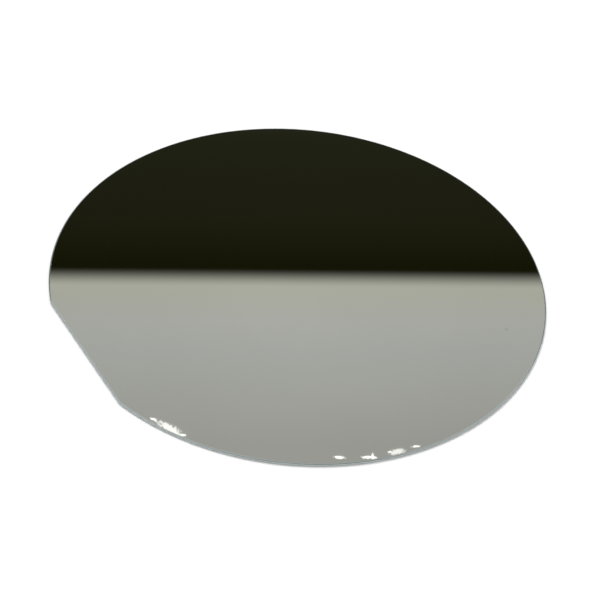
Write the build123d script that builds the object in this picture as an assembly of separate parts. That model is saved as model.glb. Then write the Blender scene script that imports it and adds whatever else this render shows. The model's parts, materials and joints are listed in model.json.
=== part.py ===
from build123d import *
from math import atan2, degrees, radians, sqrt, tan
import os

# Semiconductor wafer: a bare round slice of single-crystal silicon, polished on its upper face,
# with one primary flat on the -Y side and a ground edge that runs unbroken round the arc and the flat.
# Origin: centre of the round outline, on the back face. +Z points out of the polished face.
# Lengths are in mm and angles in degrees.

# Driving sizes
wafer_diameter = 100.0        # across the round outline, apex to apex
wafer_thickness = 0.525       # back face to polished face
primary_flat_length = 30.0    # chord that the flat takes out of the round outline
flat_corner_radius = 2.0      # blend that carries the rim round onto the flat, in plan
bevel_width = 0.30            # each ground bevel, measured in from the apex
bevel_angle = 22.0            # slope of each bevel against its face
apex_radius = 0.15            # rounding between a bevel and the narrow land at the apex
apex_share = 0.45             # most of the land's height that each rounding may take up

# Plan: where the arc, the corner blends and the flat meet
rim_radius = wafer_diameter / 2
flat_distance = sqrt(rim_radius**2 - (primary_flat_length / 2) ** 2)  # centre to flat
corner_y = flat_corner_radius - flat_distance                         # centre of each blend
corner_x = sqrt((rim_radius - flat_corner_radius) ** 2 - corner_y**2)
corner_end = degrees(atan2(corner_y, corner_x))  # direction in which a blend runs into the arc

# Edge section: bevel, apex and bevel, with X = 0 at the apex and -X into the wafer
bevel_drop = bevel_width * tan(radians(bevel_angle))
land_height = wafer_thickness - 2 * bevel_drop  # apex before its two corners are rounded
# A rounding turns through 90 degrees less the bevel angle, so along the land it takes up its
# radius times this tangent; both roundings have to fit on the land.
tangent_share = tan(radians(90 - bevel_angle) / 2)
apex_rounding = min(apex_radius, apex_share * land_height / tangent_share)

with BuildSketch(Plane.XZ) as section_sketch:
    with BuildLine():
        Polyline(
            (-bevel_width, 0),
            (0, bevel_drop),
            (0, bevel_drop + land_height),
            (-bevel_width, wafer_thickness),
            close=True,
        )
    make_face()
    fillet(section_sketch.vertices().group_by(Axis.X)[-1], apex_rounding)
edge_section = section_sketch.sketch


def rim_section(centre, radius, direction):
    """The edge section stood on an arc's plane through its axis, in the given direction."""
    return Pos(*centre) * Rot(0, 0, direction) * Pos(radius, 0) * edge_section


def ground_arc(centre, radius, start, end):
    """The ground edge along an arc of the outline, anticlockwise from start to end."""
    return revolve(
        rim_section(centre, radius, start), Axis(centre, (0, 0, 1)), revolution_arc=end - start
    )


# Ground edge: the arc, the two corner blends and the flat
arc_edge = ground_arc((0, 0, 0), rim_radius, corner_end, 180 - corner_end)
right_corner = ground_arc((corner_x, corner_y, 0), flat_corner_radius, -90, corner_end)
left_corner = ground_arc((-corner_x, corner_y, 0), flat_corner_radius, 180 - corner_end, 270)
flat_edge = extrude(
    rim_section((-corner_x, corner_y, 0), flat_corner_radius, -90), 2 * corner_x, dir=(1, 0, 0)
)

# Slab: everything inside the ground edge, its two faces parallel
with BuildSketch() as slab_plan:
    with BuildLine():
        inset_radius = rim_radius - bevel_width
        inset_corner = flat_corner_radius - bevel_width
        CenterArc((0, 0), inset_radius, corner_end, 180 - 2 * corner_end)
        CenterArc((-corner_x, corner_y), inset_corner, 180 - corner_end, 90 + corner_end)
        Line(
            (-corner_x, corner_y - inset_corner),
            (corner_x, corner_y - inset_corner),
        )
        CenterArc((corner_x, corner_y), inset_corner, -90, 90 + corner_end)
    make_face()
slab = extrude(slab_plan.sketch, wafer_thickness)

wafer = slab + [arc_edge, right_corner, left_corner, flat_edge]
wafer.label = "wafer"

os.makedirs("parts", exist_ok=True)
export_step(wafer, "parts/wafer.step")

print(f"faces {len(wafer.faces())}, solids {len(wafer.solids())}, volume {wafer.volume:.3f} mm3")
print(f"size {wafer.bounding_box().size}")
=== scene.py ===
"""A bare silicon wafer on a plain pale floor: mirror-polished face, ground and rounded edge, etched back."""

import json
from math import cos, pi, radians, sin, sqrt

import bpy
from mathutils import Matrix, Vector


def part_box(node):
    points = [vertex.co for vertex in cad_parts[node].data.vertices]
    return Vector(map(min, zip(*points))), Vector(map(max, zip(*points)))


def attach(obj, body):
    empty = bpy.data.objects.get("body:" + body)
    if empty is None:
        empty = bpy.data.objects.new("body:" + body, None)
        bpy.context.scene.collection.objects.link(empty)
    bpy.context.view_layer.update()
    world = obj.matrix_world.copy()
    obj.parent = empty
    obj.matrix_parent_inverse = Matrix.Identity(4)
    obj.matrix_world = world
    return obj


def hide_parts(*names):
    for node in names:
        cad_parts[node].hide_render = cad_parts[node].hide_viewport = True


bl_info = {
    "name": "Silicon Wafer",
    "version": (1, 0, 0),
    "blender": (4, 5, 0),
    "location": "3D View > Sidebar > Wafer",
    "description": "Builds a polished silicon wafer with a ground edge and a primary flat, and its stage",
    "category": "Object",
}

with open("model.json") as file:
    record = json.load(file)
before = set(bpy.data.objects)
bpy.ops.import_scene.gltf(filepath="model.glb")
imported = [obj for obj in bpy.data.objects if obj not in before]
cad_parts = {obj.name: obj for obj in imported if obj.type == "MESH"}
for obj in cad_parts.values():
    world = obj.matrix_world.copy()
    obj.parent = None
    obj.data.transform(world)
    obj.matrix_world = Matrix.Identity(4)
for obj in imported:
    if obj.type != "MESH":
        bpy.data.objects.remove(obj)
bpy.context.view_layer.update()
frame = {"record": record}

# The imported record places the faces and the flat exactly. The diameter comes from the CAD mesh,
# rounded to a tenth of a millimetre, because a faceted circle measures slightly small.
MOUNTS = {mount["name"]: Vector(mount["pos_m"]) for mount in frame["record"]["mounts"]}
LOW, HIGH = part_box("wafer")
DIAMETER = round(HIGH.x - LOW.x, 4)
THICKNESS = MOUNTS["front_face"].z
FLAT_DISTANCE = -MOUNTS["primary_flat"].y
FLAT_LENGTH = 2 * sqrt((DIAMETER / 2) ** 2 - FLAT_DISTANCE**2)
SMUDGE_MIDDLE = (0.0307, 0.0295, THICKNESS)  # the one faint mark on the polished face


# Kinds of value that a user may change


def length(name, description, default, least):
    """A length in metres."""
    return bpy.props.FloatProperty(
        name=name, description=description, default=default, min=least, unit="LENGTH", precision=6
    )


def angle(name, description, degrees, least=-180.0, most=180.0):
    """An angle, given in degrees."""
    return bpy.props.FloatProperty(
        name=name,
        description=description,
        default=radians(degrees),
        min=radians(least),
        max=radians(most),
        unit="ROTATION",
    )


def count(name, description, default, least, most):
    """A whole number."""
    return bpy.props.IntProperty(
        name=name, description=description, default=default, min=least, max=most
    )


def share(name, description, default):
    """A number from 0 to 1."""
    return bpy.props.FloatProperty(
        name=name, description=description, default=default, min=0, max=1, subtype="FACTOR"
    )


def colour(name, description, default):
    """A colour in linear light."""
    return bpy.props.FloatVectorProperty(
        name=name, description=description, default=default, size=3, min=0, max=1, subtype="COLOR"
    )


# Sizes and colours that a user would change


class WaferShape(bpy.types.PropertyGroup):
    """The wafer's outline and the section of its ground edge"""

    diameter: length("Diameter", "Across the round outline, apex to apex", DIAMETER, 0.01)
    thickness: length("Thickness", "From the back to the polished face", THICKNESS, 0.0001)
    flat_length: length("Flat Length", "Chord that the flat takes out of the outline", FLAT_LENGTH, 0.001)
    corner_radius: length("Corner Radius", "Blend that carries the rim onto the flat", 0.002, 0.0005)
    bevel_width: length("Bevel Width", "Each ground bevel, measured in from the apex", 0.0003, 0.00005)
    bevel_angle: angle("Bevel Angle", "Slope of each bevel against its face", 22, 5, 40)
    apex_radius: length("Apex Radius", "Rounding between each bevel and the apex", 0.00015, 0.00001)
    outline_steps: count("Outline Steps", "Points along the round part of the outline", 720, 64, 2000)
    flat_steps: count("Flat Steps", "Points that divide the flat", 60, 0, 400)
    corner_steps: count("Corner Steps", "Points along each blend beside the flat", 10, 2, 40)
    rounding_steps: count("Rounding Steps", "Points along each rounding of the edge", 8, 2, 24)
    face_rings: count("Face Rings", "Rings of mesh from the rim to the middle of each face", 8, 1, 24)


class WaferFinish(bpy.types.PropertyGroup):
    """The finish of the wafer's three surfaces"""

    face_colour: colour("Polished Face", "What it mirrors of white light", (0.392, 0.397, 0.371))
    face_roughness: share("Face Roughness", "Roughness of the polished face", 0.012)
    smudge: share("Smudge", "How plain the one faint mark on the polished face is", 0.15)
    edge_colour: colour("Ground Edge", "Colour of the bevels and the apex", (0.56, 0.62, 0.62))
    edge_roughness: share("Edge Roughness", "Roughness of the ground edge", 0.23)
    back_colour: colour("Etched Back", "Colour of the etched back", (0.30, 0.31, 0.32))
    back_roughness: share("Back Roughness", "Roughness of the etched back", 0.46)


class WaferStage(bpy.types.PropertyGroup):
    """The floor, the light and the camera"""

    floor_colour: colour("Floor", "Colour that the floor bounces onto the wafer", (0.72, 0.72, 0.72))
    room_light: share("Room Light", "Level of the even light from all round", 0.66)
    key_light: share("Key Light", "Level that the soft key light adds on the floor", 0.38)
    key_bearing: angle("Key Bearing", "Of the key light, left of the way the camera looks", 28)
    key_tilt: angle("Key Tilt", "Of the key light, down from overhead", 40)
    board_distance: length("Board Distance", "To each board that the polished face mirrors", 0.9, 0.3)
    board_turn: angle("Board Turn", "Turn of the boards away from the camera", 8.92)
    band_height: length("Dark Band", "Height of the boards' dark band", 0.8244, 0.1)
    azimuth: angle("Azimuth", "Way the camera looks: 0 along +Y, 90 along -X", 54.979)
    elevation: angle("Elevation", "How far the camera looks down", 42.411)
    roll: angle("Roll", "Camera turned anticlockwise about its own axis", 6.411)
    distance: length("Camera Distance", "From the camera to what it looks at", 0.3379, 0.05)
    aim: bpy.props.FloatVectorProperty(
        name="Aim",
        description="Point that the camera looks at",
        default=(0.00534, -0.00303, THICKNESS / 2),
        size=3,
        subtype="TRANSLATION",
        unit="LENGTH",
        precision=6,
    )
    lens: bpy.props.FloatProperty(
        name="Lens",
        description="Focal length on a 36 mm wide sensor",
        default=102.0,
        min=10,
        max=500,
        unit="CAMERA",
    )


# Node trees


MIX_FACTOR, MIX_A, MIX_B, MIX_RESULT = 0, 6, 7, 2  # a Mix node's sockets when it mixes colours
HALF_STEP = 0.5  # tells one whole number from the next


class Nodes:
    """Adds nodes to a tree. An input takes a socket, which is linked, or a plain value."""

    def __init__(self, tree):
        self.tree = tree

    def add(self, kind, inputs=None, **settings):
        node = self.tree.nodes.new(kind)
        for name, value in settings.items():
            setattr(node, name, value)
        for name, value in (inputs or {}).items():
            self.feed(node.inputs[name], value)
        return node

    def feed(self, socket, value):
        if isinstance(value, bpy.types.NodeSocket):
            self.tree.links.new(value, socket)
        else:
            socket.default_value = value

    def maths(self, operation, *values):
        """A sum on numbers."""
        node = self.add("ShaderNodeMath", operation=operation)
        for socket, value in zip(node.inputs, values):
            self.feed(socket, value)
        return node.outputs[0]

    def vector_maths(self, operation, *vectors):
        """A sum on vectors, as its outputs."""
        node = self.add("ShaderNodeVectorMath", operation=operation)
        for socket, value in zip(node.inputs, vectors):
            self.feed(socket, value)
        return node.outputs

    def equal(self, value, number):
        """1 where two whole numbers are the same, and 0 elsewhere."""
        return self.maths("COMPARE", value, number, HALF_STEP)

    def ramp(self, value, low, high, to_low=0.0, to_high=1.0):
        """value taken smoothly from low..high to to_low..to_high, and held beyond."""
        inputs = {"Value": value, "From Min": low, "From Max": high, "To Min": to_low, "To Max": to_high}
        node = self.add("ShaderNodeMapRange", interpolation_type="SMOOTHSTEP", clamp=True)
        for name, number in inputs.items():
            self.feed(node.inputs[name], number)
        return node.outputs["Result"]

    def varied(self, tone, value, by):
        """A value carried by a tone of 0..1 from a share below it to the same share above it."""
        inputs = {"Value": tone, "To Min": value * (1 - by), "To Max": value * (1 + by)}
        return self.add("ShaderNodeMapRange", inputs).outputs["Result"]

    def blend(self, a, b, share_of_b):
        """Two numbers added by their shares of the whole."""
        part_of_a = self.maths("MULTIPLY", a, 1 - share_of_b)
        return self.maths("ADD", part_of_a, self.maths("MULTIPLY", b, share_of_b))

    def mix(self, factor, a, b):
        """The colour a, turned into b by a factor."""
        node = self.add("ShaderNodeMix", data_type="RGBA")
        for place, value in ((MIX_FACTOR, factor), (MIX_A, a), (MIX_B, b)):
            plain_colour = isinstance(value, (tuple, list))
            self.feed(node.inputs[place], (*value, 1.0) if plain_colour else value)
        return node.outputs[MIX_RESULT]

    def colours(self, value, stops):
        """A colour read off a run of stops, as (position, colour), in order."""
        node = self.add("ShaderNodeValToRGB", {"Fac": value})
        run = node.color_ramp.elements
        for end, (position, shade) in zip(run, (stops[0], stops[-1])):
            end.position, end.color = position, (*shade, 1.0)
        for position, shade in stops[1:-1]:
            run.new(position).color = (*shade, 1.0)
        return node.outputs["Color"]

    def vector(self, x, y, z):
        return self.add("ShaderNodeCombineXYZ", {"X": x, "Y": y, "Z": z}).outputs[0]

    def parts(self, vector):
        """The X, Y and Z of a vector."""
        return self.add("ShaderNodeSeparateXYZ", {"Vector": vector}).outputs


def new_group(name, kind, sockets):
    """A node group with the given sockets, as (direction, name, type)."""
    tree = bpy.data.node_groups.new(name, kind)
    for direction, title, socket_type in sockets:
        tree.interface.new_socket(name=title, in_out=direction, socket_type=socket_type)
    nodes = Nodes(tree)
    entry = nodes.add("NodeGroupInput")
    leave = nodes.add("NodeGroupOutput")
    return nodes, entry.outputs, leave.inputs


# Shape of the wafer


SIZES = (
    "Diameter",
    "Thickness",
    "Flat Length",
    "Corner Radius",
    "Bevel Width",
    "Bevel Angle",
    "Apex Radius",
)
COUNTS = ("Outline Steps", "Flat Steps", "Corner Steps", "Rounding Steps", "Face Rings")
FINISHES = ("Face Finish", "Edge Finish", "Back Finish")
LEVEL = 0.999  # least upward part of a normal on the two flat faces
WELD_DISTANCE = 1e-7


def stored(nodes, geometry, name, value):
    """The geometry with a number kept on each of its points under a name."""
    return nodes.add(
        "GeometryNodeStoreNamedAttribute",
        {"Geometry": geometry.outputs[0], "Name": name, "Value": value},
        data_type="FLOAT",
        domain="POINT",
    )


def outline_curve(nodes, given):
    """The outline, anticlockwise: the round arc, closed by the flat, with a blend at each end of it."""
    radius = nodes.maths("MULTIPLY", given["Diameter"], 0.5)
    half_flat = nodes.maths("MULTIPLY", given["Flat Length"], 0.5)
    half_turn = nodes.maths("ARCSINE", nodes.maths("DIVIDE", half_flat, radius))
    arc = nodes.add(
        "GeometryNodeCurveArc",
        {
            "Resolution": given["Outline Steps"],
            "Radius": radius,
            "Start Angle": nodes.maths("SUBTRACT", half_turn, pi / 2),
            "Sweep Angle": nodes.maths("SUBTRACT", 2 * pi, nodes.maths("MULTIPLY", half_turn, 2)),
        },
        mode="RADIUS",
    )
    closed = nodes.add("GeometryNodeSetSplineCyclic", {"Geometry": arc.outputs["Curve"], "Cyclic": True})
    index = nodes.add("GeometryNodeInputIndex").outputs[0]
    at_end = nodes.equal(index, nodes.maths("SUBTRACT", given["Outline Steps"], 1))
    at_corner = nodes.maths("ADD", nodes.equal(index, 0), at_end)
    divided = nodes.add(
        "GeometryNodeSubdivideCurve",
        {"Curve": closed.outputs[0], "Cuts": nodes.maths("MULTIPLY", at_end, given["Flat Steps"])},
    )
    blended = nodes.add(
        "GeometryNodeFilletCurve",
        {
            "Curve": divided.outputs[0],
            "Count": nodes.maths("MULTIPLY", at_corner, given["Corner Steps"]),
            "Radius": nodes.maths("MULTIPLY", at_corner, given["Corner Radius"]),
            "Limit Radius": False,
        },
        mode="POLY",
    )
    return nodes.add("GeometryNodeSetCurveNormal", {"Curve": blended.outputs[0]}, mode="Z_UP")


def section_curve(nodes, given):
    """The edge's section, from the polished face out to the apex and in to the back. X is out, Y is down."""
    inner = nodes.maths("MULTIPLY", given["Bevel Width"], -1)
    top = nodes.maths("MULTIPLY", given["Thickness"], -1)
    drop = nodes.maths("MULTIPLY", given["Bevel Width"], nodes.maths("TANGENT", given["Bevel Angle"]))
    corners = nodes.add(
        "GeometryNodeCurvePrimitiveQuadrilateral",
        {
            "Point 1": nodes.vector(inner, top, 0),
            "Point 2": nodes.vector(0, nodes.maths("ADD", top, drop), 0),
            "Point 3": nodes.vector(0, nodes.maths("MULTIPLY", drop, -1), 0),
            "Point 4": nodes.vector(inner, 0, 0),
        },
        mode="POINTS",
    )
    opened = nodes.add("GeometryNodeSetSplineCyclic", {"Geometry": corners.outputs[0], "Cyclic": False})
    return nodes.add(
        "GeometryNodeFilletCurve",
        {
            "Curve": opened.outputs[0],
            "Count": given["Rounding Steps"],
            "Radius": given["Apex Radius"],
            "Limit Radius": True,
        },
        mode="POLY",
    )


def ringed_web(nodes, given, rim):
    """A flat web of rings and spokes, from the rim's lower open loop in to the middle. It faces down."""
    sides = nodes.add("GeometryNodeInputMeshEdgeNeighbors").outputs[0]
    position = nodes.add("GeometryNodeInputPosition").outputs[0]
    middle = nodes.maths("MULTIPLY", given["Thickness"], 0.5)
    low = nodes.maths("LESS_THAN", nodes.parts(position)["Z"], middle)
    lower_loop = nodes.maths("MULTIPLY", nodes.equal(sides, 1), low)
    loop = nodes.add("GeometryNodeMeshToCurve", {"Mesh": rim.outputs[0], "Selection": lower_loop})
    size = nodes.add("GeometryNodeAttributeDomainSize", {"Geometry": loop.outputs[0]}, component="CURVE")
    spokes = size.outputs["Point Count"]
    per_spoke = nodes.maths("ADD", given["Face Rings"], 1)
    grid = nodes.add(
        "GeometryNodeMeshGrid",
        {"Vertices X": nodes.maths("ADD", spokes, 1), "Vertices Y": per_spoke},
    )
    index = nodes.add("GeometryNodeInputIndex").outputs[0]
    in_spokes = nodes.maths("DIVIDE", nodes.maths("ADD", index, HALF_STEP), per_spoke)
    spoke = nodes.maths("FLOOR", in_spokes)
    ring = nodes.maths("SUBTRACT", index, nodes.maths("MULTIPLY", spoke, per_spoke))
    rim_point = nodes.add(
        "GeometryNodeSampleIndex",
        {"Geometry": loop.outputs[0], "Index": nodes.maths("MODULO", spoke, spokes)},
        data_type="FLOAT_VECTOR",
        domain="POINT",
    )
    nodes.feed(rim_point.inputs["Value"], position)
    along_spoke = nodes.maths("DIVIDE", ring, given["Face Rings"])
    place = nodes.vector_maths("MULTIPLY", rim_point.outputs[0], along_spoke)[0]
    return nodes.add("GeometryNodeSetPosition", {"Geometry": grid.outputs[0], "Position": place})


def wafer_tree():
    """The rule that makes the wafer: the edge's section run round the outline, and a web for each face."""
    sockets = [("OUTPUT", "Geometry", "NodeSocketGeometry")]
    sockets += [("INPUT", size, "NodeSocketFloat") for size in SIZES]
    sockets += [("INPUT", number, "NodeSocketInt") for number in COUNTS]
    sockets += [("INPUT", finish, "NodeSocketMaterial") for finish in FINISHES]
    nodes, given, result = new_group("Wafer From Its Edge Section", "GeometryNodeTree", sockets)

    # Each point keeps how far it lies along the section, for the marks that run round the edge.
    section = section_curve(nodes, given)
    across = nodes.add("GeometryNodeSplineParameter").outputs["Length"]
    marked = stored(nodes, section, "rim_across", across)
    rim = nodes.add(
        "GeometryNodeCurveToMesh",
        {
            "Curve": outline_curve(nodes, given).outputs[0],
            "Profile Curve": marked.outputs[0],
            "Fill Caps": False,
        },
    )
    web = ringed_web(nodes, given, rim)
    reach = nodes.add("GeometryNodeCurveLength", {"Curve": section.outputs[0]}).outputs[0]
    back = stored(nodes, web, "rim_across", reach)
    turned = nodes.add("GeometryNodeFlipFaces", {"Mesh": web.outputs[0]})
    face = stored(nodes, turned, "rim_across", 0.0)
    lift = nodes.vector(0, 0, given["Thickness"])
    lifted = nodes.add("GeometryNodeTransform", {"Geometry": face.outputs[0], "Translation": lift})
    joined = nodes.add("GeometryNodeJoinGeometry")
    for part in (rim, lifted, back):
        nodes.feed(joined.inputs[0], part.outputs[0])
    welded = nodes.add(
        "GeometryNodeMergeByDistance",
        {"Geometry": joined.outputs[0], "Distance": WELD_DISTANCE},
    )

    upward = nodes.parts(nodes.add("GeometryNodeInputNormal").outputs[0])["Z"]
    sloping = nodes.maths("LESS_THAN", nodes.maths("ABSOLUTE", upward), LEVEL)
    shaded = nodes.add(
        "GeometryNodeSetShadeSmooth",
        {"Geometry": welded.outputs[0], "Shade Smooth": sloping},
        domain="FACE",
    )
    finished = nodes.add("GeometryNodeRealizeInstances", {"Geometry": shaded.outputs[0]})
    for name, chosen in (
        ("Edge Finish", True),
        ("Face Finish", nodes.maths("GREATER_THAN", upward, LEVEL)),
        ("Back Finish", nodes.maths("LESS_THAN", upward, -LEVEL)),
    ):
        finished = nodes.add(
            "GeometryNodeSetMaterial",
            {"Geometry": finished.outputs[0], "Selection": chosen, "Material": given[name]},
        )
    nodes.feed(result["Geometry"], finished.outputs[0])
    return nodes.tree


def shaped(name, tree, values):
    """A plain mesh object made by a geometry tree, with its named inputs set."""
    piece = bpy.data.objects.new(name, bpy.data.meshes.new(name))
    bpy.context.scene.collection.objects.link(piece)
    modifier = piece.modifiers.new("Shape", "NODES")
    modifier.node_group = tree
    inputs = (item for item in tree.interface.items_tree if item.in_out == "INPUT")
    sockets = {item.name: item.identifier for item in inputs}
    for title, value in values.items():
        modifier[sockets[title]] = value
    evaluated = piece.evaluated_get(bpy.context.evaluated_depsgraph_get())
    mesh = bpy.data.meshes.new_from_object(evaluated)
    mesh.name = name
    piece.modifiers.remove(modifier)
    piece.data = mesh
    if not mesh.polygons:
        raise RuntimeError(f"the tree of {name} made no faces")
    if not mesh.materials[0]:  # the tree leaves an empty slot ahead of its own
        mesh.materials.pop(index=0)
    return piece


# Effects that several finishes share


PATCH_RANGE = (0.30, 0.70)  # between which nearly all of the patches' noise lies
GRAIN_RANGE = (0.32, 0.68)  # between which nearly all of the grain's noise lies
GRAIN_PITCH = 0.45          # the grain's specks per metre, as a share of the pits per metre
PITS_IN_TOOTH = 0.6         # share of the tooth's height that is pits; the rest is grain


def stretched(nodes, noise, limits):
    """A noise stretched from between its usual limits to 0..1."""
    inputs = {"Value": noise, "From Min": limits[0], "From Max": limits[1]}
    return nodes.add("ShaderNodeMapRange", inputs).outputs["Result"]


def drift_group():
    """Slow change of tone over a surface, from 0 to 1 about a middle of 0.5."""
    nodes, given, result = new_group(
        "Slow Drift",
        "ShaderNodeTree",
        [
            ("INPUT", "Vector", "NodeSocketVector"),
            ("INPUT", "Patches", "NodeSocketFloat"),
            ("OUTPUT", "Tone", "NodeSocketFloat"),
        ],
    )
    noise = nodes.add("ShaderNodeTexNoise", {"Detail": 3.0, "Roughness": 0.5})
    nodes.feed(noise.inputs["Vector"], given["Vector"])
    nodes.feed(noise.inputs["Scale"], given["Patches"])
    nodes.feed(result["Tone"], stretched(nodes, noise.outputs[0], PATCH_RANGE))
    return nodes.tree


def tooth_group():
    """The fine tooth of a ground or etched surface: shallow pits among a grain over twice as coarse."""
    nodes, given, result = new_group(
        "Fine Tooth",
        "ShaderNodeTree",
        [
            ("INPUT", "Vector", "NodeSocketVector"),
            ("INPUT", "Pits", "NodeSocketFloat"),
            ("OUTPUT", "Height", "NodeSocketFloat"),
            ("OUTPUT", "Grain", "NodeSocketFloat"),
        ],
    )
    pits = nodes.add("ShaderNodeTexVoronoi", feature="SMOOTH_F1")
    nodes.feed(pits.inputs["Vector"], given["Vector"])
    nodes.feed(pits.inputs["Scale"], given["Pits"])
    pits.inputs["Smoothness"].default_value = 0.6
    coarse = nodes.maths("MULTIPLY", given["Pits"], GRAIN_PITCH)
    noise = nodes.add("ShaderNodeTexNoise", {"Vector": given["Vector"], "Scale": coarse, "Detail": 4.0})
    grain = noise.outputs[0]
    nodes.feed(result["Height"], nodes.blend(grain, pits.outputs["Distance"], PITS_IN_TOOTH))
    nodes.feed(result["Grain"], stretched(nodes, grain, GRAIN_RANGE))
    return nodes.tree


# Finishes


def new_material(name):
    """A node material that holds only its output, its nodes, and its surface socket."""
    material = bpy.data.materials.new(name)
    material.use_nodes = True
    material.node_tree.nodes.clear()
    nodes = Nodes(material.node_tree)
    return material, nodes, nodes.add("ShaderNodeOutputMaterial").inputs["Surface"]


def crystal(name, metallic):
    """A material with one Principled shader, its nodes, and the shader's inputs."""
    material, nodes, surface = new_material(name)
    shader = nodes.add("ShaderNodeBsdfPrincipled")
    shader.inputs["Metallic"].default_value = metallic
    nodes.feed(surface, shader.outputs[0])
    return material, nodes, shader.inputs


def shared(nodes, group, inputs):
    """The outputs of a shared effect, placed in a material with its own values."""
    return nodes.add("ShaderNodeGroup", inputs, node_tree=group).outputs


def shade(base, level):
    """A colour made darker or lighter by one share of its light."""
    return tuple(channel * level for channel in base)


FACE_METALLIC = 1.0
FACE_PATCHES = 45.0          # slow patches of tone, per metre
FACE_TONE_DRIFT = 0.012      # share by which they change the colour, either way
FACE_HAZE_DRIFT = 0.15       # share by which they change the roughness, either way
SMUDGE_REACH = 0.00062       # metres from its middle at which the smudge starts to show
SMUDGE_CORE = 0.00008        # metres from its middle at which it is at its plainest
SMUDGE_COLOUR = (0.12, 0.12, 0.11)
SMUDGE_ROUGHNESS = 0.4


def polished_face(finish, effects):
    """Chemically polished crystal: a dark mirror, with a breath of haze and one faint smudge."""
    material, nodes, shader = crystal("Polished Silicon", FACE_METALLIC)
    place = nodes.add("ShaderNodeTexCoord").outputs["Object"]
    tone = shared(nodes, effects["drift"], {"Vector": place, "Patches": FACE_PATCHES})["Tone"]
    away = nodes.vector_maths("DISTANCE", place, SMUDGE_MIDDLE)["Value"]
    smudge = nodes.maths("MULTIPLY", nodes.ramp(away, SMUDGE_REACH, SMUDGE_CORE), finish.smudge)

    base = tuple(finish.face_colour)
    clean = nodes.mix(tone, shade(base, 1 - FACE_TONE_DRIFT), shade(base, 1 + FACE_TONE_DRIFT))
    nodes.feed(shader["Base Color"], nodes.mix(smudge, clean, SMUDGE_COLOUR))
    haze = nodes.varied(tone, finish.face_roughness, FACE_HAZE_DRIFT)
    dulled = nodes.maths("MAXIMUM", haze, nodes.maths("MULTIPLY", smudge, SMUDGE_ROUGHNESS))
    nodes.feed(shader["Roughness"], dulled)
    return material


EDGE_METALLIC = 0.95
MARKS_ACROSS = 40000.0       # grinding marks per metre across the edge
MARKS_ALONG = 120.0          # and along it, so that each mark is long and fine
MARK_RANGE = (0.35, 0.65)    # between which the marks' noise turns them from dark to plain
MARK_TONE = 0.86             # share of the edge's light that the darkest mark keeps
MARKS_IN_RELIEF = 0.5        # share of the edge's relief that is marks; the rest is pits
EDGE_PITS = 14000.0          # per metre
EDGE_ROUGHNESS_DRIFT = 0.2   # share by which the roughness changes, either way
EDGE_RELIEF = 0.00001        # metres


def ground_edge(finish, effects):
    """Ground and lightly etched edge: satin, paler than the face, with fine marks along the rim."""
    material, nodes, shader = crystal("Ground Silicon Edge", EDGE_METALLIC)
    place = nodes.add("ShaderNodeTexCoord").outputs["Object"]
    spot = nodes.parts(place)
    across = nodes.add("ShaderNodeAttribute", attribute_name="rim_across").outputs["Fac"]
    lane = nodes.vector(
        nodes.maths("MULTIPLY", across, MARKS_ACROSS),
        nodes.maths("MULTIPLY", spot["X"], MARKS_ALONG),
        nodes.maths("MULTIPLY", spot["Y"], MARKS_ALONG),
    )
    noise = nodes.add("ShaderNodeTexNoise", {"Vector": lane, "Scale": 1.0, "Detail": 3.0, "Roughness": 0.6})
    marks = noise.outputs[0]
    tooth = shared(nodes, effects["tooth"], {"Vector": place, "Pits": EDGE_PITS})

    base = tuple(finish.edge_colour)
    plainness = nodes.ramp(marks, *MARK_RANGE)
    nodes.feed(shader["Base Color"], nodes.mix(plainness, shade(base, MARK_TONE), base))
    rough = nodes.varied(tooth["Grain"], finish.edge_roughness, EDGE_ROUGHNESS_DRIFT)
    nodes.feed(shader["Roughness"], rough)
    relief = nodes.blend(tooth["Height"], marks, MARKS_IN_RELIEF)
    bump = nodes.add("ShaderNodeBump", {"Strength": 0.25, "Distance": EDGE_RELIEF, "Height": relief})
    nodes.feed(shader["Normal"], bump.outputs[0])
    return material


BACK_METALLIC = 0.6
BACK_PITS = 5200.0           # per metre
BACK_PATCHES = 70.0          # slow patches of tone, per metre
PATCHES_IN_MOTTLE = 0.4      # share of the mottle that is patches; the rest is grain
BACK_TONES = (0.82, 1.12)    # shares of the back's light in its darkest and its palest specks
BACK_ROUGHNESS_DRIFT = 0.15  # share by which the roughness changes, either way
BACK_RELIEF = 0.00002        # metres


def etched_back(finish, effects):
    """Etched back: an even dull grey that sparkles slightly, with shallow overlapping pits."""
    material, nodes, shader = crystal("Etched Silicon Back", BACK_METALLIC)
    place = nodes.add("ShaderNodeTexCoord").outputs["Object"]
    tooth = shared(nodes, effects["tooth"], {"Vector": place, "Pits": BACK_PITS})
    tone = shared(nodes, effects["drift"], {"Vector": place, "Patches": BACK_PATCHES})["Tone"]

    base = tuple(finish.back_colour)
    darkest, palest = (shade(base, level) for level in BACK_TONES)
    mottle = nodes.blend(tooth["Grain"], tone, PATCHES_IN_MOTTLE)
    nodes.feed(shader["Base Color"], nodes.mix(mottle, darkest, palest))
    rough = nodes.varied(tooth["Grain"], finish.back_roughness, BACK_ROUGHNESS_DRIFT)
    nodes.feed(shader["Roughness"], rough)
    relief = tooth["Height"]
    bump = nodes.add("ShaderNodeBump", {"Strength": 0.35, "Distance": BACK_RELIEF, "Height": relief})
    nodes.feed(shader["Normal"], bump.outputs[0])
    return material


# Stage


WHITE = (1.0, 1.0, 1.0)
SQUARE = ((-1, -1), (1, -1), (1, 1), (-1, 1))  # a square's corners, anticlockwise


def seen_directly(nodes):
    """1 where a ray comes from the camera, a mirror or glass, and 0 for those that carry even light."""
    path = nodes.add("ShaderNodeLightPath").outputs
    mirrored = nodes.maths("MAXIMUM", path["Is Glossy Ray"], path["Is Transmission Ray"])
    return nodes.maths("MAXIMUM", path["Is Camera Ray"], mirrored)


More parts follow.
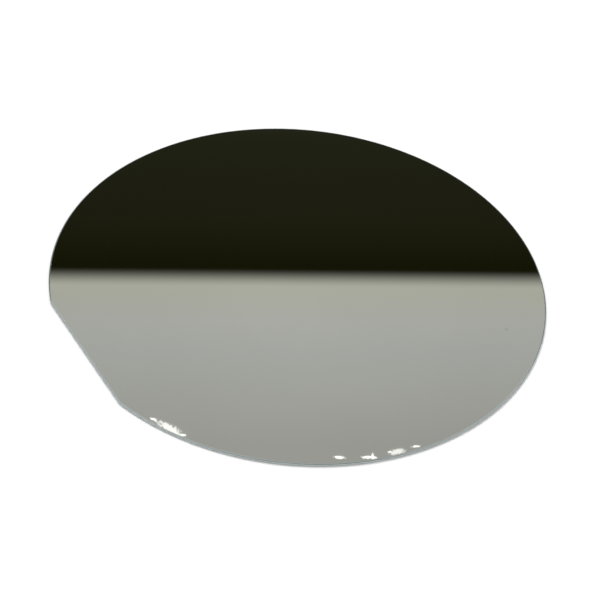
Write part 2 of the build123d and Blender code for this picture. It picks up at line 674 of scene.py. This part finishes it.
def stand(name, mesh, material):
    """A piece of the stage, with its one material."""
    mesh.materials.append(material)
    piece = bpy.data.objects.new(name, mesh)
    bpy.context.scene.collection.objects.link(piece)
    return piece


def show_in_mirrors_only(piece):
    """The piece is seen in polished surfaces, and neither lights nor shades anything else."""
    piece.visible_camera = False
    piece.visible_diffuse = False
    piece.visible_shadow = False
    piece.visible_transmission = False


FLOOR_REACH = 6.0    # metres from the middle to each side
FLOOR_GAP = 0.00002  # metres, which keeps the floor just clear of the wafer's back


def pale_floor(look):
    """White to the eye and in mirrors, and less than white in what it bounces."""
    material, nodes, surface = new_material("Pale Floor")
    paint = nodes.mix(seen_directly(nodes), tuple(look.floor_colour), WHITE)
    nodes.feed(surface, nodes.add("ShaderNodeBsdfDiffuse", {"Color": paint}).outputs[0])
    return material


def lay_floor(look):
    """A plain pale floor under the wafer."""
    mesh = bpy.data.meshes.new("floor")
    corners = [(x * FLOOR_REACH, y * FLOOR_REACH, -FLOOR_GAP) for x, y in SQUARE]
    mesh.from_pydata(corners, [], [(0, 1, 2, 3)])
    stand("floor", mesh, pale_floor(look))


# What polished surfaces mirror above the boards: a wall that greys as it rises, then a ceiling
# that is pale on the key light's side and dark on the other.
WALL_GREY = (0.755, 0.755, 0.745)
WALL_GREYS = (40, 53)         # degrees above the horizon between which the wall greys
CEILING_STARTS = (55, 75)     # degrees above the horizon between which it turns into the ceiling
CEILING_DARK = (0.20, 0.20, 0.20)
CEILING_PALE = (0.76, 0.745, 0.72)
CEILING_LEAN = (-0.26, 0.40)  # lean towards the key light between which the ceiling turns pale
KEY_SPREAD = radians(26)      # how wide the key light looks, which sets how soft its shadow is


def key_side(look):
    """The level direction from the wafer towards the key light."""
    bearing = look.azimuth + look.key_bearing
    return Vector((-sin(bearing), cos(bearing), 0.0))


def light_room(look):
    """An even light from all round, and the white surroundings that the eye and mirrors see."""
    world = bpy.data.worlds.new("Studio")
    bpy.context.scene.world = world
    world.use_nodes = True
    world.node_tree.nodes.clear()
    nodes = Nodes(world.node_tree)
    way = nodes.add("ShaderNodeTexCoord").outputs["Generated"]

    def risen(between):
        """How far a direction has risen through two angles above the horizon, from 0 to 1."""
        low, high = (sin(radians(limit)) for limit in between)
        return nodes.ramp(nodes.parts(way)["Z"], low, high)

    lean = nodes.vector_maths("DOT_PRODUCT", way, key_side(look))["Value"]
    ceiling = nodes.mix(nodes.ramp(lean, *CEILING_LEAN), CEILING_DARK, CEILING_PALE)
    wall = nodes.mix(risen(WALL_GREYS), WHITE, WALL_GREY)
    room = nodes.mix(risen(CEILING_STARTS), wall, ceiling)
    level = nodes.mix(seen_directly(nodes), shade(WHITE, look.room_light), room)
    sky = nodes.add("ShaderNodeBackground", {"Color": level, "Strength": 1.0})
    nodes.add("ShaderNodeOutputWorld", {"Surface": sky.outputs[0]})


def hang_key_light(look):
    """A soft light from behind and to the left, which mirrors don't show."""
    key = bpy.data.lights.new("Key Light", "SUN")
    key.energy = look.key_light * pi / cos(look.key_tilt)  # a level white surface returns key_light
    key.angle = KEY_SPREAD
    lamp = bpy.data.objects.new("Key Light", key)
    bpy.context.scene.collection.objects.link(lamp)
    towards = key_side(look) * sin(look.key_tilt) + Vector((0.0, 0.0, cos(look.key_tilt)))
    lamp.rotation_euler = towards.to_track_quat("Z", "Y").to_euler()
    lamp.visible_glossy = False


# What the boards show the polished face, by height as a share of the dark band's height
DARK_BAND = (
    (0.00, (0.95, 0.95, 0.95)),
    (0.35, (0.66, 0.66, 0.65)),
    (0.55, (0.30, 0.30, 0.28)),
    (0.68, (0.085, 0.088, 0.066)),
    (0.79, (0.036, 0.039, 0.020)),
    (0.90, (0.031, 0.031, 0.014)),
    (0.97, (0.018, 0.018, 0.005)),
)
PALE_WALL = (
    (1.00, (1.00, 1.01, 0.90)),
    (1.05, (0.986, 0.992, 0.974)),
    (1.10, (0.938, 0.945, 0.935)),
    (1.26, (0.79, 0.795, 0.765)),
    (1.60, (0.77, 0.77, 0.76)),
)
SOFT_TOP = (0.970, 0.999)       # between which the band turns softly into the wall
BOARD_TOP = PALE_WALL[-1][0]
BRIGHTEST = 0.14                # metres along a board from its middle to where it is brightest
DIMMING = 0.22                  # metres from there over which it dims
BRIGHT_LEVELS = (1.010, 0.974)  # its level there, and beyond


def banded_board():
    """Dark up to a soft straight top and pale above, a little brighter near the middle."""
    material, nodes, surface = new_material("Banded Board")
    place = nodes.parts(nodes.add("ShaderNodeUVMap", uv_map="Board").outputs[0])
    height = nodes.maths("MULTIPLY", place["Y"], BOARD_TOP)
    band = nodes.colours(place["Y"], [(at / BOARD_TOP, tone) for at, tone in DARK_BAND])
    wall = nodes.colours(place["Y"], [(at / BOARD_TOP, tone) for at, tone in PALE_WALL])
    shown = nodes.mix(nodes.ramp(height, *SOFT_TOP), band, wall)
    aside = nodes.maths("ABSOLUTE", nodes.maths("SUBTRACT", place["X"], BRIGHTEST))
    level = nodes.ramp(aside, 0.0, DIMMING, *BRIGHT_LEVELS)
    nodes.feed(surface, nodes.add("ShaderNodeEmission", {"Color": shown, "Strength": level}).outputs[0])
    return material


def raise_boards(look):
    """Four tall boards round the wafer, a square on plan, that only polished surfaces mirror."""
    reach = look.board_distance
    turn = Matrix.Rotation(look.azimuth + look.board_turn, 4, "Z")
    feet = [turn @ Vector((x * reach, y * reach, 0.0)) for x, y in SQUARE]
    rise = Vector((0.0, 0.0, BOARD_TOP * look.band_height))
    corners, faces = [], []
    for foot, next_foot in zip(feet, feet[1:] + feet[:1]):
        faces.append(tuple(range(len(corners), len(corners) + 4)))
        corners += [foot, next_foot, next_foot + rise, foot + rise]
    mesh = bpy.data.meshes.new("boards")
    mesh.from_pydata(corners, [], faces)
    sheet = mesh.uv_layers.new(name="Board")  # metres from the middle, and share of the whole height
    for face in mesh.polygons:
        for loop, place in zip(face.loop_indices, ((reach, 0), (-reach, 0), (-reach, 1), (reach, 1))):
            sheet.data[loop].uv = place
    show_in_mirrors_only(stand("boards", mesh, banded_board()))


def viewpoint(look):
    """Where the camera stands and how it is turned: it looks down on the wafer, slightly rolled."""
    turn, drop = look.azimuth, look.elevation
    forward = Vector((-sin(turn) * cos(drop), cos(turn) * cos(drop), -sin(drop)))
    level = forward.cross(Vector((0, 0, 1))).normalized()
    upright = level.cross(forward)
    right = level * cos(look.roll) + upright * sin(look.roll)
    up = upright * cos(look.roll) - level * sin(look.roll)
    eye = Vector(look.aim) - forward * look.distance
    return Matrix.Translation(eye) @ Matrix((right, up, -forward)).transposed().to_4x4()


LAMP_REACH = 1.3          # metres to each lamp from the eye that the polished face mirrors
LAMP_FADE = (0.85, 0.40)  # from a lamp's middle, as shares of its half width: unlit, and full
TATTER = 1.4              # how far its ragged outline strays, as a share of its half width
TATTERS = 700.0           # ragged points per metre
# Small lamps that glint along the near rim: where each one's two ends hang, as degrees left of
# straight ahead and degrees up, how many degrees wide it is, and how bright.
LAMPS = (
    ((6.63, 46.73), (6.31, 46.80), 0.09, 4.0),
    ((6.32, 46.84), (5.00, 47.29), 0.40, 2.6),
    ((5.20, 47.25), (4.80, 47.26), 0.10, 4.0),
    ((-2.53, 47.50), (-3.14, 47.47), 0.12, 4.0),
    ((-3.75, 47.37), (-4.75, 47.28), 0.11, 4.0),
    ((-4.42, 47.18), (-4.46, 47.38), 0.12, 3.2),
    ((-5.17, 47.04), (-5.36, 47.01), 0.09, 3.5),
    ((-5.25, 47.05), (-5.92, 46.90), 0.27, 2.3),
    ((-6.25, 46.73), (-6.71, 46.64), 0.09, 4.0),
)


def ragged_lamp():
    """Bright in its middle, with a ragged outline that fades to nothing."""
    material, nodes, surface = new_material("Ragged Lamp")
    strength = nodes.add("ShaderNodeAttribute", attribute_name="level").outputs["Fac"]
    glow = nodes.add("ShaderNodeEmission", {"Strength": strength})
    across = nodes.add("ShaderNodeUVMap", uv_map="Lamp").outputs[0]
    from_middle = nodes.vector_maths("LENGTH", across)["Value"]
    place = nodes.add("ShaderNodeTexCoord").outputs["Object"]
    noise = nodes.add("ShaderNodeTexNoise", {"Vector": place, "Scale": TATTERS, "Detail": 2.0}).outputs[0]
    stray = nodes.maths("SUBTRACT", noise, 0.5)
    ragged = nodes.maths("MULTIPLY_ADD", stray, TATTER, from_middle)
    faded = nodes.add("ShaderNodeMixShader", {"Fac": nodes.ramp(ragged, *LAMP_FADE)})
    nodes.feed(faded.inputs[1], nodes.add("ShaderNodeBsdfTransparent").outputs[0])
    nodes.feed(faded.inputs[2], glow.outputs[0])
    nodes.feed(surface, faded.outputs[0])
    return material


def hang_lamps(look):
    """Small lamps inside the boards, that only polished surfaces mirror."""
    mirrored_eye = viewpoint(look).translation
    mirrored_eye.z = 2 * THICKNESS - mirrored_eye.z

    def hung(bearing, rise):
        """Where a lamp's end hangs, as the mirrored eye sees it."""
        turn, up = look.azimuth + radians(bearing), radians(rise)
        way = Vector((-sin(turn) * cos(up), cos(turn) * cos(up), sin(up)))
        return mirrored_eye + LAMP_REACH * way

    corners, faces = [], []
    for start, end, width, _ in LAMPS:
        a, b = hung(*start), hung(*end)
        along = (b - a).normalized() * LAMP_REACH * radians(width) / 2
        aside = along.cross((a - mirrored_eye) / LAMP_REACH)
        faces.append(tuple(range(len(corners), len(corners) + 4)))
        corners += [a - along - aside, b + along - aside, b + along + aside, a - along + aside]
    mesh = bpy.data.meshes.new("lamps")
    mesh.from_pydata(corners, [], faces)
    sheet = mesh.uv_layers.new(name="Lamp")  # from -1 to 1 along the lamp, and across it
    level = mesh.attributes.new("level", "FLOAT", "FACE")
    for face, (_, _, _, brightness) in zip(mesh.polygons, LAMPS):
        level.data[face.index].value = brightness
        for loop, place in zip(face.loop_indices, SQUARE):
            sheet.data[loop].uv = place
    show_in_mirrors_only(stand("lamps", mesh, ragged_lamp()))


SENSOR_WIDTH = 36.0         # millimetres, to which the focal length belongs
CLIP_RANGE = (0.005, 50.0)  # metres


def place_camera(look):
    """The camera, at the photograph's viewing angle."""
    camera = bpy.data.objects.new("Camera", bpy.data.cameras.new("Camera"))
    bpy.context.scene.collection.objects.link(camera)
    camera.matrix_world = viewpoint(look)
    camera.data.sensor_width = SENSOR_WIDTH
    camera.data.lens = look.lens
    camera.data.clip_start, camera.data.clip_end = CLIP_RANGE
    bpy.context.scene.camera = camera


# Operators, panel and registration


class WAFER_OT_crystal(bpy.types.Operator):
    """Build the wafer itself, with its three finishes, over the CAD solid"""

    bl_idname = "wafer.crystal"
    bl_label = "Build Wafer"

    def execute(self, context):
        shape, finish = context.scene.wafer_shape, context.scene.wafer_finish
        effects = {"drift": drift_group(), "tooth": tooth_group()}
        values = {title: getattr(shape, title.lower().replace(" ", "_")) for title in SIZES + COUNTS}
        for title, make in zip(FINISHES, (polished_face, ground_edge, etched_back)):
            values[title] = make(finish, effects)
        wafer = shaped("polished_wafer", wafer_tree(), values)
        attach(wafer, "root")
        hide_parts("wafer")
        return {"FINISHED"}


class WAFER_OT_stage(bpy.types.Operator):
    """Lay the floor, light the room and place the camera"""

    bl_idname = "wafer.stage"
    bl_label = "Build Stage"

    def execute(self, context):
        look = context.scene.wafer_stage
        for build in (lay_floor, light_room, hang_key_light, raise_boards, hang_lamps, place_camera):
            build(look)
        context.scene.view_settings.view_transform = "Standard"
        return {"FINISHED"}


class WAFER_PT_sidebar(bpy.types.Panel):
    """The wafer's sizes, finishes and stage"""

    bl_idname = "WAFER_PT_sidebar"
    bl_label = "Silicon Wafer"
    bl_space_type = "VIEW_3D"
    bl_region_type = "UI"
    bl_category = "Wafer"

    def draw(self, context):
        scene = context.scene
        for title, group, operator in (
            ("Shape", scene.wafer_shape, None),
            ("Finish", scene.wafer_finish, WAFER_OT_crystal),
            ("Stage", scene.wafer_stage, WAFER_OT_stage),
        ):
            box = self.layout.box()
            box.label(text=title)
            for name in group.__annotations__:
                box.prop(group, name)
            if operator:
                box.operator(operator.bl_idname)


GROUPS = {"wafer_shape": WaferShape, "wafer_finish": WaferFinish, "wafer_stage": WaferStage}
CLASSES = (*GROUPS.values(), WAFER_OT_crystal, WAFER_OT_stage, WAFER_PT_sidebar)


def register():
    for cls in CLASSES:
        bpy.utils.register_class(cls)
    for name, group in GROUPS.items():
        setattr(bpy.types.Scene, name, bpy.props.PointerProperty(type=group))


def unregister():
    for name in GROUPS:
        delattr(bpy.types.Scene, name)
    for cls in reversed(CLASSES):
        bpy.utils.unregister_class(cls)


def main():
    register()
    for build in (bpy.ops.wafer.crystal, bpy.ops.wafer.stage):
        build()


if __name__ == "__main__":
    main()
